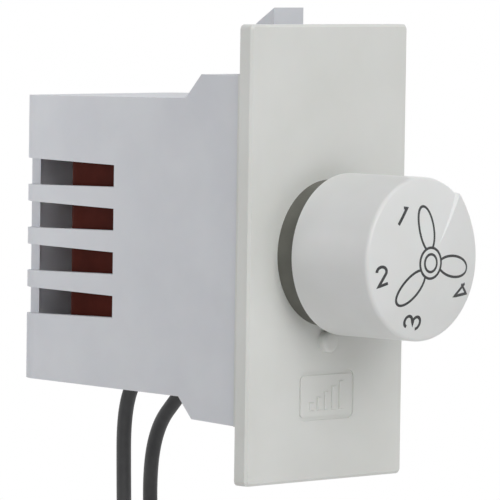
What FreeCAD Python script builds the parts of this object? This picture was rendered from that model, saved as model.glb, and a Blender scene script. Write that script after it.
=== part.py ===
import FreeCAD, Part
import math
import os

# A one-module fan speed control: a white front plate with a round knob, and a ventilated
# rear housing that holds a five-step rotary switch, a circuit board and two capacitors.
# X is to the right seen from the front, +Y goes back into the wall and +Z is up.
# The origin is the centre of the plate's rear seat, where the plate meets its frame.

# Front plate
plateWidth = 22.5
plateHeight = 45.0
plateThick = 1.6
plateCornerR = 0.5
plateBevel = 0.25
locatingStep = 0.4
locatingMargin = 0.05
indexZ = -8.8
indexR = 1.0
indexHeight = 0.5
indexRoot = 0.1
signCentreZ = -14.1
signWidth = 8.0
signHeight = 4.8
signCornerR = 0.8
grooveWidth = 0.35
grooveDepth = 0.15

# Rear housing, whose middle lies a little above the plate's
housingZ = 0.4
wall = 1.15
flangeSetIn = 0.25
sideDraft = 0.2
flangeHalfWidth = plateWidth / 2 - flangeSetIn
boxBackHalfWidth = flangeHalfWidth - sideDraft
flangeHalfHeight = 17.1
flangeBackY = 5.45
flangeSlant = 0.75
flangeLowBackY = flangeBackY + flangeSlant
flangeUndersideRise = 0.28
shoulderDepth = 2.15
shoulderLowDepth = 1.85
shoulderStep = 2.4
shoulderBackY = flangeBackY + shoulderDepth
shoulderLowBackY = flangeLowBackY + shoulderLowDepth
boxHalfHeight = flangeHalfHeight - shoulderStep
endDraft = 0.4
boxBackHalfHeight = boxHalfHeight - endDraft
innerStepShare = 0.4
backY = 31.4
backCornerR = 2.6
edgeR = 0.5
slotPitch = 4.35
slotCount = 4
slotMiddleZ = 0.5
slotFrontY = 17.5
slotFrontHeight = 2.2
slotBackHeight = 2.75
slotInset = 2.1
outletX = 3.9
outletWidth = 2.1
outletFrontY = 17.6
outletBackY = 23.0
outletEndGap = 0.05
outletTopZ = -8.0

# Frame grip: the hook's post at the top and the fixed lug at the bottom
frameGrip = 4.2
hookWidth = 4.2
hookTopZ = 24.05
hookRampLength = 2.2
hookRampDrop = 1.45
hookFaceHeight = 2.6
hookChamfer = 0.9
hookHeelDrop = 0.3
postThick = 1.3
postSetBack = 1.3
postFootRise = 1.2
postFootTop = 2.5
rootDepth = 1.6
lugWidth = 7.0
lugThick = 1.4
lugReach = 4.4
lugTipChamfer = 0.4
lugTipTaper = 0.8
lugRootSetBack = 0.6

# Snap tongues that join the plate to the housing
tongueInset = 4.6
tongueX = flangeHalfWidth - tongueInset
tongueWidth = 3.0
tongueThick = 1.0
tongueLength = 3.9
catchHeight = 0.7
catchFrontY = 2.1
catchLength = 1.5
windowSideGap = 0.2
windowFrontGap = 0.05
windowBackGap = 0.3
fitClearance = 0.1
snugClearance = 0.03

# Knob and collar
knobR = 8.0
knobBackY = -4.1
knobRimY = -14.3
knobDome = 1.0
knobRimR = 0.7
knobWall = 1.3
knobFaceThick = 1.5
knobHubWall = 1.3
knobHubRecess = 0.3
knobRibs = 6
knobRibThick = 0.9
knobRibOverlap = 0.4
knobRibRecess = 0.9
pointerAngle = 49.5
pointerInnerR = 1.9
pointerHeight = 0.35
pointerSteepWidth = 0.8
pointerFlatWidth = 3.0
pointerRootDepth = 0.5
pointerTipChamfer = 0.2
collarR = 7.25
collarWall = 1.1
collarChamfer = 0.2
knobGap = 0.3
spigotWall = 1.0

# The rotary switch fills the housing's width, so its plan grows and shrinks with the cup,
# whose radius is 9.3 mm in a 22.5 mm module
switchSideGap = 0.55
cupR = flangeHalfWidth - wall - switchSideGap
planScale = cupR / 9.3

# Spindle and what it turns
spindleR = 3.0 * planScale
runningClearance = 0.05
spindleFrontY = -12.7
spindleLead = 0.4
flatDepth = 0.8
flatBackY = -6.2
springThick = 0.3
springWidth = 2.4
springFrontGap = 0.6
springBackGap = 0.4
squareSide = 4.0 * planScale
pivotR = 1.5 * planScale
pivotProud = 0.3
wheelR = 6.6 * planScale
wheelThick = 3.4
wheelHubR = 4.2 * planScale
wheelHubThick = 0.75
wheelHoleRingR = 4.9 * planScale
wheelHoleR = 0.8 * planScale
wheelHoleDepth = 1.5
steps = 5
carrierR = 6.4 * planScale
carrierThick = 1.5
stopLugR = 7.9 * planScale
stopLugHalfAngle = 17.5
stopLugAngle = 18.0
stopLugRoot = 0.75
stopOffset = 108.0
wiperThick = 0.25
wiperWidth = 1.6
wiperAngle = 270.0
wiperEndLength = 0.5
wiperCornerR = 0.4
wiperTipBaseR = 0.5
wiperTipEndR = 0.3
leafInset = 0.3

# Detent ball
ballR = 1.5 * planScale
notchDepth = 0.8
springR = 1.15 * planScale
springWireR = 0.15
springTurns = 6

# Switch body
switchFloorY = 2.2
switchSlabBackY = 3.6
slabSideGap = 0.45
slabEndGap = 2.05
slabCornerR = 1.0
switchSlabHalfWidth = flangeHalfWidth - wall - slabSideGap
switchSlabHalfHeight = flangeHalfHeight - wall - slabEndGap
cupCavityR = 8.2 * planScale
cupBackY = 9.2
stopRibInnerR = 7.0 * planScale
stopRibHalfAngle = 17.5
stopRibRoot = 0.2
pocketSideWall = 1.15
pocketHalfWidth = ballR + runningClearance + pocketSideWall
pocketWallY = 0.75
pocketEndWall = 0.7
screwX = 6.6 * planScale
screwEndInset = 2.2
screwZ = switchSlabHalfHeight - screwEndInset
screwShankR = 1.05
screwHoleGap = 0.15
screwHeadR = 1.9
screwHeadThick = 1.1
screwHeadEdge = 0.5
screwEndY = 0.3
screwSlotLength = 2.2
screwSlotWidth = 0.44
screwSlotFloor = 0.5
screwSlotTurn = 20.0
postR = 2.1
postHeight = 2.0
pegR = 0.45
pegSetIn = 0.55
pegRingR = cupR - pegSetIn
pegProud = 0.35
pegAngles = (30.0, 150.0, 210.0, 330.0)

# Contacts and wafer
waferThick = 1.2
padR = 0.85 * planScale
padRingR = 5.9 * planScale
padThick = 0.3
commonInnerR = 3.6 * planScale
commonOuterR = 4.4 * planScale
pinR = 0.45
pinHoleClearance = 0.06
pinSetBack = 0.1
stepAngle = 360.0 / steps

# Circuit board and parts on it
boardFrontY = 12.0
boardThick = 1.2
boardGap = 0.15
boardCornerR = 0.6
boardHalfWidth = boxBackHalfWidth - wall - boardGap
boardHalfHeight = boxBackHalfHeight - wall - boardGap
boardBottomZ = housingZ - boardHalfHeight
boardTopZ = housingZ + boardHalfHeight
ledgeDepth = 2.3
ledgeReach = 1.0
ledgeHeight = 1.4
capBackY = 25.6
capMiddleGap = 0.3
bigCapSideGap = 0.3
smallCapSideGap = 0.9
bigCapX0 = bigCapSideGap - boardHalfWidth
bigCapX1 = -capMiddleGap
bigCapBottomInset = 4.3
bigCapTopInset = 2.4
bigCapZ0 = boardBottomZ + bigCapBottomInset
bigCapZ1 = boardTopZ - bigCapTopInset
smallCapX0 = capMiddleGap
smallCapX1 = boardHalfWidth - smallCapSideGap
smallCapBottomInset = 5.8
smallCapTopInset = 3.0
smallCapZ0 = boardBottomZ + smallCapBottomInset
smallCapZ1 = boardTopZ - smallCapTopInset
smallCapBackY = 23.2
capEdge = 0.8
capLeadInset = 2.15
capLeadPitch = bigCapZ1 - bigCapZ0 - 2 * capLeadInset
smallLeadInset = 3.6
smallLeadPitch = smallCapZ1 - smallCapZ0 - 2 * smallLeadInset
tailR = 0.35
tailProud = 0.7
resistorR = 1.1
resistorNeckShare = 0.8
resistorBulgeShare = 0.26
resistorEdgeR = 0.35
resistorTopInset = 1.1
resistorMiddleInset = 0.45
resistorSideInset = 1.6
resistorLeadRun = 0.8
resistorBendR = 0.6
resistorZ = boardTopZ - resistorTopInset
resistorX = boardHalfWidth / 2 - resistorMiddleInset
resistorLeadR = 0.25
resistorLeadPitch = 2 * (boardHalfWidth - resistorSideInset - resistorX)
resistorLength = resistorLeadPitch - 2 * resistorLeadRun
resistorLift = 0.1
solderR = 0.95
solderHeight = 0.6
solderCollar = 0.25
solderGap = 0.02
leadSolderR = 0.4

# Flying leads, each a stranded wire in black insulation
leadR = 0.75
leadCoreR = 0.45
leadTipLength = 6.0
leadTipRounding = 0.2
bendShare = 0.45
leadRouteA = [
    (-3.9, 13.24, -10.2),
    (-3.9, 17.9, -10.4),
    (-3.9, 21.4, -13.8),
    (-3.9, 22.7, -17.6),
    (-4.0, 22.5, -24.0),
    (-4.5, 21.7, -33.0),
    (-4.1, 22.0, -46.0),
    (-4.7, 22.6, -61.0),
    (-4.2, 22.3, -77.0),
    (-4.6, 22.8, -92.0),
]
leadRouteB = [
    (3.9, 13.36, -10.2),
    (3.9, 17.6, -11.0),
    (3.9, 22.5, -15.9),
    (3.9, 25.9, -19.6),
    (3.8, 26.7, -26.0),
    (4.1, 25.8, -36.0),
    (3.6, 25.4, -49.0),
    (4.2, 24.6, -63.0),
    (3.8, 24.9, -78.0),
    (4.3, 24.4, -90.0),
]

boardBackY = boardFrontY + boardThick
plateFrontY = -plateThick
boreR = spindleR + runningClearance
wheelFrontY = switchFloorY + runningClearance
wheelDiscY = wheelFrontY + wheelHubThick
wheelBackY = wheelDiscY + wheelThick
carrierBackY = wheelBackY + carrierThick
padFrontY = cupBackY - padThick
ballY = wheelDiscY + wheelThick / 2
ballZ = wheelR + runningClearance + ballR
notchRingR = ballZ - notchDepth
notchR = ballR + runningClearance
pocketEndZ = switchSlabHalfHeight - pocketEndWall
collarFrontY = knobBackY + knobGap
collarSpigotR = spindleR + spigotWall
knobHubR = spindleR + knobHubWall
knobTopY = knobRimY - knobDome
domeEdgeR = knobR - knobRimR
domeR = (domeEdgeR**2 + knobDome**2) / (2 * knobDome)
domeCentreY = knobTopY + domeR
seatY = locatingStep


def point(x, y, z):
    return FreeCAD.Vector(x, y, z)


def block(x0, x1, y0, y1, z0, z1):
    return Part.makeBox(x1 - x0, y1 - y0, z1 - z0, point(x0, y0, z0))


def rod(radius, y0, y1, x=0.0, z=0.0):
    return Part.makeCylinder(radius, y1 - y0, point(x, y0, z), point(0, 1, 0))


def uprightRod(radius, z0, z1, x=0.0, y=0.0):
    return Part.makeCylinder(radius, z1 - z0, point(x, y, z0), point(0, 0, 1))


def extruded(corners, along):
    """A closed outline of straight sides, pushed along a vector."""
    return Part.Face(Part.makePolygon(corners + corners[:1])).extrude(along)


def acrossX(profile, x0, x1):
    corners = [point(x0, y, z) for y, z in profile]
    return extruded(corners, point(x1 - x0, 0, 0))


def acrossZ(profile, z0, z1):
    corners = [point(x, y, z0) for x, y in profile]
    return extruded(corners, point(0, 0, z1 - z0))


def alongY(profile, y0, y1):
    corners = [point(x, y0, z) for x, z in profile]
    return extruded(corners, point(0, y1 - y0, 0))


def turned(profile):
    """A solid of revolution about the knob's axis, from (radius, y) corners."""
    corners = [point(r, y, 0) for r, y in profile]
    face = Part.Face(Part.makePolygon(corners + corners[:1]))
    return face.revolve(point(0, 0, 0), point(0, 1, 0), 360)


def edgesAlong(shape, axis, near=None):
    """The straight edges along an axis, 0 to 2, whose middle passes a test."""
    found = []
    for edge in shape.Edges:
        a, b = edge.Vertexes[0].Point, edge.Vertexes[-1].Point
        spread = [abs(b[i] - a[i]) for i in range(3)]
        if sum(spread) > 1e-6 and spread[axis] > 0.999 * math.hypot(*spread):
            middle = (a + b) * 0.5
            if near is None or near(middle):
                found.append(edge)
    return found


def roundedBlock(x0, x1, y0, y1, z0, z1, radius):
    solid = block(x0, x1, y0, y1, z0, z1)
    return solid.makeFillet(radius, edgesAlong(solid, 1))


def sector(innerR, outerR, angle, halfAngle, y0, y1):
    """A piece of a ring about the knob's axis, centred on an angle seen from the front."""
    ring = rod(outerR, y0, y1).cut(rod(innerR, y0 - 1, y1 + 1))
    far = 2 * outerR
    wedge = [(0.0, 0.0)]
    for side in (-1, 0, 1):
        turn = math.radians(angle + side * halfAngle)
        wedge.append((far * math.cos(turn), far * math.sin(turn)))
    return ring.common(alongY(wedge, y0, y1))


def around(angle, radius):
    turn = math.radians(angle)
    return radius * math.cos(turn), radius * math.sin(turn)


def export(name, shape):
    shape.exportStep(f"parts/{name}.step")
    solids = shape.Solids
    print(f"{name}: {len(solids)} solid(s), {shape.Volume:.2f} mm3, valid {shape.isValid()}")


def frontPlate():
    halfW, halfH = plateWidth / 2, plateHeight / 2
    slab = roundedBlock(-halfW, halfW, plateFrontY, 0, -halfH, halfH, plateCornerR)
    front = [e for e in slab.Edges if all(abs(v.Y - plateFrontY) < 1e-6 for v in e.Vertexes)]
    plate = slab.makeChamfer(plateBevel, front)
    stepW = flangeHalfWidth + locatingMargin
    stepLow = housingZ - flangeHalfHeight - locatingMargin
    stepHigh = housingZ + flangeHalfHeight + locatingMargin
    plate = plate.fuse(block(-stepW, stepW, plateFrontY / 2, locatingStep, stepLow, stepHigh))
    for sx, sz in ((-1, 1), (1, -1)):
        plate = plate.fuse(rod(postR, 0, seatY + postHeight, sx * screwX, sz * screwZ))
    plate = plate.fuse(indexDot())
    for side in (-1, 1):
        for x in (-tongueX, tongueX):
            plate = plate.fuse(snapTongue(x, side))
    for sx, sz in ((-1, 1), (1, -1)):
        hole = rod(screwShankR + snugClearance, 0, seatY + postHeight + 1, sx * screwX, sz * screwZ)
        plate = plate.cut(hole)
    plate = plate.cut(rod(collarSpigotR + snugClearance, plateFrontY - 1, seatY + 1))
    return plate.cut(signGroove()).removeSplitter()


def indexDot():
    ballRadius = (indexR**2 + indexHeight**2) / (2 * indexHeight)
    centreY = plateFrontY - indexHeight + ballRadius
    ball = Part.makeSphere(ballRadius, point(0, centreY, indexZ))
    reach = 2 * indexR
    keep = block(-reach, reach, plateFrontY - 1, plateFrontY + indexRoot, indexZ - reach, indexZ + reach)
    return ball.common(keep)


def signGroove():
    halfW, halfH = signWidth / 2, signHeight / 2
    y0, y1 = plateFrontY - 1, plateFrontY + grooveDepth
    low, high = signCentreZ - halfH, signCentreZ + halfH
    outer = roundedBlock(-halfW, halfW, y0, y1, low, high, signCornerR)
    g = grooveWidth
    innerR = signCornerR - g
    inner = roundedBlock(-halfW + g, halfW - g, y0, y1, low + g, high - g, innerR)
    return outer.cut(inner)


def snapTongue(x, side):
    """A tongue behind the plate, with a wedge that clicks into the housing's window."""
    face = housingZ + side * (flangeHalfHeight - wall - fitClearance)
    back = face - side * tongueThick
    tip = face + side * catchHeight
    profile = [
        (0.0, back),
        (tongueLength, back),
        (tongueLength, face),
        (catchFrontY + catchLength, face),
        (catchFrontY, tip),
        (catchFrontY, face),
        (0.0, face),
    ]
    return acrossX(profile, x - tongueWidth / 2, x + tongueWidth / 2)


def collarRing():
    profile = [
        (boreR, collarFrontY),
        (collarR - collarChamfer, collarFrontY),
        (collarR, collarFrontY + collarChamfer),
        (collarR, plateFrontY),
        (collarR - collarWall, plateFrontY),
        (collarR - collarWall, collarFrontY + collarWall),
        (collarSpigotR, collarFrontY + collarWall),
        (collarSpigotR, seatY),
        (boreR, seatY),
    ]
    return turned(profile)


def housingForm(inset, frontY):
    """The housing's outside form, or its cavity where inset is the wall."""
    halfFlange = flangeHalfHeight - inset
    halfBox = boxHalfHeight - inset
    halfBack = boxBackHalfHeight - inset
    setForward = innerStepShare * inset
    flangeY, lowFlangeY = flangeBackY - setForward, flangeLowBackY - setForward
    shoulderY, lowShoulderY = shoulderBackY - setForward, shoulderLowBackY - setForward
    underside = (0.0 if inset else flangeUndersideRise) - halfFlange
    side = [(frontY, -halfFlange), (lowFlangeY, underside), (lowShoulderY, -halfBox)]
    side += [(backY - inset, -halfBack), (backY - inset, halfBack)]
    side += [(shoulderY, halfBox), (flangeY, halfFlange), (frontY, halfFlange)]
    side = [(y, housingZ + z) for y, z in side]
    halfW, backW = flangeHalfWidth - inset, boxBackHalfWidth - inset
    plan = [(-halfW, frontY), (-halfW, shoulderY), (-backW, backY - inset)]
    plan += [(backW, backY - inset), (halfW, shoulderY), (halfW, frontY)]
    tall = 2 * flangeHalfHeight
    planned = acrossZ(plan, housingZ - tall, housingZ + tall)
    corners = edgesAlong(planned, 2, lambda m: m.y > backY - inset - 0.01)
    planned = planned.makeFillet(backCornerR - inset, corners)
    profiled = acrossX(side, -flangeHalfWidth - 1, flangeHalfWidth + 1)
    flat = edgesAlong(profiled, 0, lambda m: m.y > backY - inset - 0.01)
    return profiled.makeFillet(edgeR, flat).common(planned)


def ventSlot(z, side):
    """One ventilation slot, taller towards the back, that runs out through the corner."""
    endY = backY + 1
    rise = (slotBackHeight - slotFrontHeight) / (backY - slotFrontY)
    front, back = slotFrontHeight / 2, (slotFrontHeight + rise * (endY - slotFrontY)) / 2
    profile = [
        (slotFrontY, z - front),
        (endY, z - back),
        (endY, z + back),
        (slotFrontY, z + front),
    ]
    inner = side * (flangeHalfWidth - slotInset)
    outer = side * (flangeHalfWidth + 1)
    return acrossX(profile, min(inner, outer), max(inner, outer))


def hookPost():
    """The springy post on the top of the flange, with the hook that grips the frame."""
    rootZ = housingZ + flangeHalfHeight - wall / 2
    postFrontY = frameGrip + postSetBack
    postBackY = postFrontY + postThick
    ramp = hookTopZ - hookRampDrop
    faceZ = hookTopZ - hookFaceHeight
    profile = [
        (frameGrip, rootZ),
        (frameGrip, rootZ + postFootRise),
        (postFrontY, rootZ + postFootTop),
        (postFrontY, faceZ - hookChamfer),
        (frameGrip, faceZ),
        (frameGrip, hookTopZ),
        (frameGrip + hookRampLength, ramp),
        (postBackY, ramp - hookHeelDrop),
        (postBackY, rootZ - rootDepth),
        (postFrontY, rootZ - rootDepth),
    ]
    return acrossX(profile, -hookWidth / 2, hookWidth / 2)


def fixedLug():
    """The lug, whose root fills the underside's rise so that the frame's rail lies flat."""
    undersideZ = housingZ - flangeHalfHeight
    rootZ = undersideZ + wall / 2
    tipZ = undersideZ - lugReach
    profile = [
        (seatY, rootZ),
        (seatY, undersideZ),
        (frameGrip, undersideZ),
        (frameGrip, tipZ + lugTipChamfer),
        (frameGrip + lugTipChamfer, tipZ),
        (frameGrip + lugThick, tipZ + lugTipTaper),
        (frameGrip + lugThick, rootZ + rootDepth),
        (frameGrip + lugRootSetBack, rootZ + rootDepth),
        (frameGrip + lugRootSetBack, rootZ),
    ]
    return acrossX(profile, -lugWidth / 2, lugWidth / 2)


def boardLedges():
    """Four ledges in the corners of the cavity that the board's rear face rests on."""
    out = flangeHalfWidth
    ledges = []
    for side in (-1, 1):
        inner = side * (boardHalfWidth - ledgeReach)
        x0, x1 = min(inner, side * out), max(inner, side * out)
        for z0 in (boardBottomZ, boardTopZ - ledgeHeight):
            ledges.append(block(x0, x1, boardBackY, boardBackY + ledgeDepth, z0, z0 + ledgeHeight))
    return ledges


def rearHousing():
    outer = housingForm(0.0, seatY)
    cavity = housingForm(wall, seatY - 1)
    outer = outer.fuse([hookPost(), fixedLug()])
    shell = outer.cut(cavity)
    for ledge in boardLedges():
        shell = shell.fuse(ledge.common(housingForm(wall / 2, seatY)))
    for i in range(slotCount):
        z = slotMiddleZ + (i - (slotCount - 1) / 2) * slotPitch
        shell = shell.cut([ventSlot(z, -1), ventSlot(z, 1)])
    bottom = housingZ - flangeHalfHeight
    for x in (-outletX, outletX):
        half = outletWidth / 2
        hole = block(x - half, x + half, outletFrontY, outletBackY, bottom, outletTopZ)
        shell = shell.cut(hole.makeFillet(half - outletEndGap, edgesAlong(hole, 2)))
    for x in (-tongueX, tongueX):
        shell = shell.cut([catchWindow(x, -1), catchWindow(x, 1)])
    return shell.removeSplitter()


def catchWindow(x, side):
    """The window in the flange's top or bottom wall that a tongue's wedge clicks into."""
    half = tongueWidth / 2 + windowSideGap
    y0 = catchFrontY - windowFrontGap
    y1 = catchFrontY + catchLength + windowBackGap
    face = housingZ + side * (flangeHalfHeight - wall - windowFrontGap)
    far = housingZ + side * (flangeHalfHeight + wall)
    return block(x - half, x + half, y0, y1, min(face, far), max(face, far))


def domeY(radius):
    """The knob's face at a radius; the dome's curve goes on past the rim's rounding."""
    return domeCentreY - math.sqrt(domeR**2 - radius**2)


def knobShell():
    """The knob: a thin cap with a slightly domed face, a hub and ribs, and its pointer."""
    rimY = knobRimY + knobRimR
    domeMidR = domeEdgeR / 2
    slant = math.sqrt(0.5)
    top = point(0, knobTopY, 0)
    edge = point(domeEdgeR, knobRimY, 0)
    rim = point(knobR, rimY, 0)
    rimMid = point(domeEdgeR + knobRimR * slant, rimY - knobRimR * slant, 0)
    low = point(knobR, knobBackY, 0)
    centre = point(0, knobBackY, 0)
    outline = Part.Wire(
        [
            Part.Arc(top, point(domeMidR, domeY(domeMidR), 0), edge).toShape(),
            Part.Arc(edge, rimMid, rim).toShape(),
            Part.LineSegment(rim, low).toShape(),
            Part.LineSegment(low, centre).toShape(),
            Part.LineSegment(centre, top).toShape(),
        ]
    )
    body = Part.Face(outline).revolve(point(0, 0, 0), point(0, 1, 0), 360)
    body = body.fuse(pointerRidge())
    innerR = knobR - knobWall
    cavityTopY = knobRimY + knobFaceThick
    cavity = rod(innerR, cavityTopY, knobBackY + 1)
    rootY = cavityTopY - knobRibOverlap
    hub = rod(knobHubR, rootY, knobBackY - knobHubRecess)
    x0, x1 = knobHubR - knobRibOverlap, innerR + knobRibOverlap
    ribEndY = knobBackY - knobRibRecess
    ribs = []
    for i in range(knobRibs):
        rib = block(x0, x1, rootY, ribEndY, -knobRibThick / 2, knobRibThick / 2)
        rib.rotate(point(0, 0, 0), point(0, 1, 0), 360.0 * i / knobRibs)
        ribs.append(rib)
    knob = body.cut(cavity).fuse([hub] + ribs)
    return knob.cut(knobBore()).removeSplitter()


def knobBore():
    """The hub's bore, with a flat wall that the small spring bears on."""
    frontY = spindleFrontY - fitClearance
    flatEndY = flatBackY - 2 * fitClearance
    boreRadius = spindleR + snugClearance
    bore = rod(boreRadius, frontY, knobBackY + 1)
    flatX = spindleR - flatDepth + springThick + 2 * snugClearance
    keep = block(-knobR, flatX, frontY, flatEndY, -knobR, knobR)
    return bore.common(keep).fuse(rod(boreRadius, flatEndY, knobBackY + 1))


def pointerRidge():
    """The raised pointer: a low ridge on the dome, steep on one side, that grows to the rim."""
    outR = knobR + 1

    def section(radius):
        share = (radius - pointerInnerR) / (knobR - pointerInnerR)
        faceY = domeY(min(radius, knobR))
        crestY = faceY - share * pointerHeight
        rootY = faceY + share * pointerRootDepth + snugClearance
        spread = 1 + pointerRootDepth / pointerHeight
        corners = [
            point(radius, crestY, 0),
            point(radius, rootY, share * spread * pointerSteepWidth + snugClearance),
            point(radius, rootY, -share * spread * pointerFlatWidth - snugClearance),
        ]
        return Part.makePolygon(corners + corners[:1])

    radii = [pointerInnerR, 0.5 * (pointerInnerR + knobR), outR]
    ridge = Part.makeLoft([section(r) for r in radii], True, False)
    tipY = domeY(knobR) - pointerHeight
    keep = turned(
        [
            (0, knobTopY - 1),
            (knobR - pointerTipChamfer - 1, knobTopY - 1),
            (knobR - pointerTipChamfer, tipY),
            (knobR, tipY + pointerTipChamfer),
            (knobR, knobBackY),
            (0, knobBackY),
        ]
    )
    ridge = ridge.common(keep)
    ridge.rotate(point(0, 0, 0), point(0, -1, 0), pointerAngle)
    return ridge


def spindle():
    profile = [
        (0, spindleFrontY),
        (spindleR - spindleLead, spindleFrontY),
        (spindleR, spindleFrontY + spindleLead),
        (spindleR, wheelFrontY),
        (0, wheelFrontY),
    ]
    shaft = turned(profile)
    flatX = spindleR - flatDepth
    flat = block(flatX, knobR, spindleFrontY - 1, flatBackY, -spindleR, spindleR)
    shaft = shaft.cut(flat)
    half = squareSide / 2
    square = block(-half, half, wheelFrontY, cupBackY - runningClearance, -half, half)
    pivot = rod(pivotR, cupBackY - runningClearance, cupBackY + waferThick + pivotProud)
    return shaft.fuse([square, pivot]).removeSplitter()


def knobSpring():
    """A strip of spring steel between the spindle's flat and the hub."""
    x0 = spindleR - flatDepth + snugClearance
    y0, y1 = spindleFrontY + springFrontGap, flatBackY - springBackGap
    return block(x0, x0 + springThick, y0, y1, -springWidth / 2, springWidth / 2)


def squareHole(y0, y1):
    half = squareSide / 2 + snugClearance
    return block(-half, half, y0, y1, -half, half)


def detentWheel():
    """The five-notch wheel that the ball clicks into."""
    wheel = rod(wheelR, wheelDiscY, wheelBackY).fuse(rod(wheelHubR, wheelFrontY, wheelDiscY))
    for i in range(steps):
        x, z = around(90.0 + i * stepAngle, notchRingR)
        wheel = wheel.cut(rod(notchR, wheelDiscY - fitClearance, wheelBackY + 1, x, z))
    for i in range(steps):
        x, z = around(90.0 + (i + 0.5) * stepAngle, wheelHoleRingR)
        wheel = wheel.cut(rod(wheelHoleR, wheelBackY - wheelHoleDepth, wheelBackY + 1, x, z))
    return wheel.cut(squareHole(wheelFrontY - 1, wheelBackY + 1)).removeSplitter()


def wiperCarrier():
    disc = rod(carrierR, wheelBackY, carrierBackY)
    innerR = carrierR - stopLugRoot
    lug = sector(innerR, stopLugR, stopLugAngle, stopLugHalfAngle, wheelBackY, carrierBackY)
    carrier = disc.fuse(lug)
    return carrier.cut(squareHole(wheelBackY - 1, carrierBackY + 1)).removeSplitter()


def wiperContact():
    """The bronze leaf: one arm reaches the step pads and the other the common ring."""
    y0, y1 = carrierBackY, carrierBackY + wiperThick
    leaf = rod(commonInnerR - leafInset, y0, y1)
    rise = padFrontY - runningClearance - y1
    commonR = (commonInnerR + commonOuterR) / 2
    for angle, reach in ((wiperAngle, padRingR), (wiperAngle - 180.0, commonR)):
        arm = block(0, reach + wiperEndLength, y0, y1, -wiperWidth / 2, wiperWidth / 2)
        arm = arm.makeFillet(wiperCornerR, edgesAlong(arm, 1, lambda m: m.x > commonR))
        arm.rotate(point(0, 0, 0), point(0, -1, 0), angle)
        x, z = around(angle, reach)
        tip = Part.makeCone(wiperTipBaseR, wiperTipEndR, rise, point(x, y1, z), point(0, 1, 0))
        leaf = leaf.fuse([arm, tip])
    return leaf.cut(squareHole(y0 - 1, y1 + 1)).removeSplitter()


def switchBody():
    """The moulded cup: its bearing, the ball's pocket, the end stop and the wafer's pegs."""
    halfW, halfH = switchSlabHalfWidth, switchSlabHalfHeight
    slab = roundedBlock(-halfW, halfW, seatY, switchSlabBackY, -halfH, halfH, slabCornerR)
    cup = rod(cupR, seatY, cupBackY)
    y0, y1 = ballY - ballR - pocketWallY, ballY + ballR + pocketWallY
    pocket = block(-pocketHalfWidth, pocketHalfWidth, y0, y1, cupCavityR, halfH)
    body = slab.fuse([cup, pocket])
    body = body.cut(rod(cupCavityR, switchFloorY, cupBackY + 1))
    ribAngle = stopLugAngle - stopOffset
    ribFrontY = wheelBackY + 2 * fitClearance
    ribOuterR = cupCavityR + stopRibRoot
    rib = sector(stopRibInnerR, ribOuterR, ribAngle, stopRibHalfAngle, ribFrontY, cupBackY)
    body = body.fuse(rib)
    body = body.cut(rod(boreR, seatY - 1, switchFloorY + 1))
    body = body.cut(uprightRod(ballR + runningClearance, wheelR, pocketEndZ, 0, ballY))
    for sx, sz in ((-1, 1), (1, -1)):
        x, z = sx * screwX, sz * screwZ
        body = body.cut(rod(postR + runningClearance, seatY - 1, seatY + postHeight, x, z))
        body = body.cut(rod(screwShankR + screwHoleGap, seatY, switchSlabBackY + 1, x, z))
    for angle in pegAngles:
        x, z = around(angle, pegRingR)
        body = body.fuse(rod(pegR, cupBackY - fitClearance, cupBackY + waferThick + pegProud, x, z))
    return body.removeSplitter()


def switchScrews():
    screws = []
    for sx, sz in ((-1, 1), (1, -1)):
        x, z = sx * screwX, sz * screwZ
        head = rod(screwHeadR, switchSlabBackY, switchSlabBackY + screwHeadThick, x, z)
        headMiddleY = switchSlabBackY + screwHeadThick / 2
        rimEdges = [e for e in head.Edges if e.Vertexes[0].Y > headMiddleY and len(e.Vertexes) == 1]
        head = head.makeFillet(screwHeadEdge, rimEdges)
        screw = head.fuse(rod(screwShankR, screwEndY, switchSlabBackY, x, z))
        long, wide = screwSlotLength / 2, screwSlotWidth / 2
        floorY = switchSlabBackY + screwSlotFloor
        for turn in (0, 90):
            bar = block(-long, long, floorY, floorY + screwHeadThick, -wide, wide)
            bar.rotate(point(0, 0, 0), point(0, 1, 0), turn + screwSlotTurn)
            bar.translate(point(x, 0, z))
            screw = screw.cut(bar)
        screws.append(screw)
    return Part.makeCompound(screws)


def detentSpring():
    """The coil spring that pushes the ball into the wheel's notches."""
    ballContact = math.sqrt((ballR + springWireR + snugClearance) ** 2 - springR**2)
    low = ballZ + ballContact
    high = pocketEndZ - springWireR - snugClearance
    helix = Part.makeHelix((high - low) / springTurns, high - low, springR)
    ring = Part.makeCircle(springWireR, point(springR, 0, 0), point(0, 1, 0))
    coil = Part.Wire(helix).makePipeShell([Part.Wire(ring)], True, True)
    coil.translate(point(0, ballY, low))
    return coil


def detentBall():
    return Part.makeSphere(ballR, point(0, ballY, ballZ))


def padAngles():
    """Where the wiper stands at 3, 4, 2 and 1; the fifth place, OFF, has no pad."""
    return [wiperAngle, wiperAngle - stepAngle, wiperAngle + stepAngle, wiperAngle + 2 * stepAngle]


def commonPin():
    return around(wiperAngle + 3 * stepAngle, (commonInnerR + commonOuterR) / 2)


def contactWafer():
    wafer = rod(cupR, cupBackY, cupBackY + waferThick)
    wafer = wafer.cut(rod(pivotR + runningClearance, cupBackY - 1, cupBackY + waferThick + 1))
    places = [around(a, padRingR) for a in padAngles()] + [commonPin()]
    for x, z in places:
        wafer = wafer.cut(rod(pinR + pinHoleClearance, cupBackY - 1, cupBackY + waferThick + 1, x, z))
    for angle in pegAngles:
        x, z = around(angle, pegRingR)
        wafer = wafer.cut(rod(pegR + snugClearance, cupBackY - 1, cupBackY + waferThick + 1, x, z))
    return wafer


def fixedContacts():
    contacts = []
    for angle in padAngles():
        x, z = around(angle, padRingR)
        pad = rod(padR, padFrontY, cupBackY, x, z)
        contacts.append(pad.fuse(rod(pinR, cupBackY, boardBackY - pinSetBack, x, z)).removeSplitter())
    return Part.makeCompound(contacts)


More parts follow.
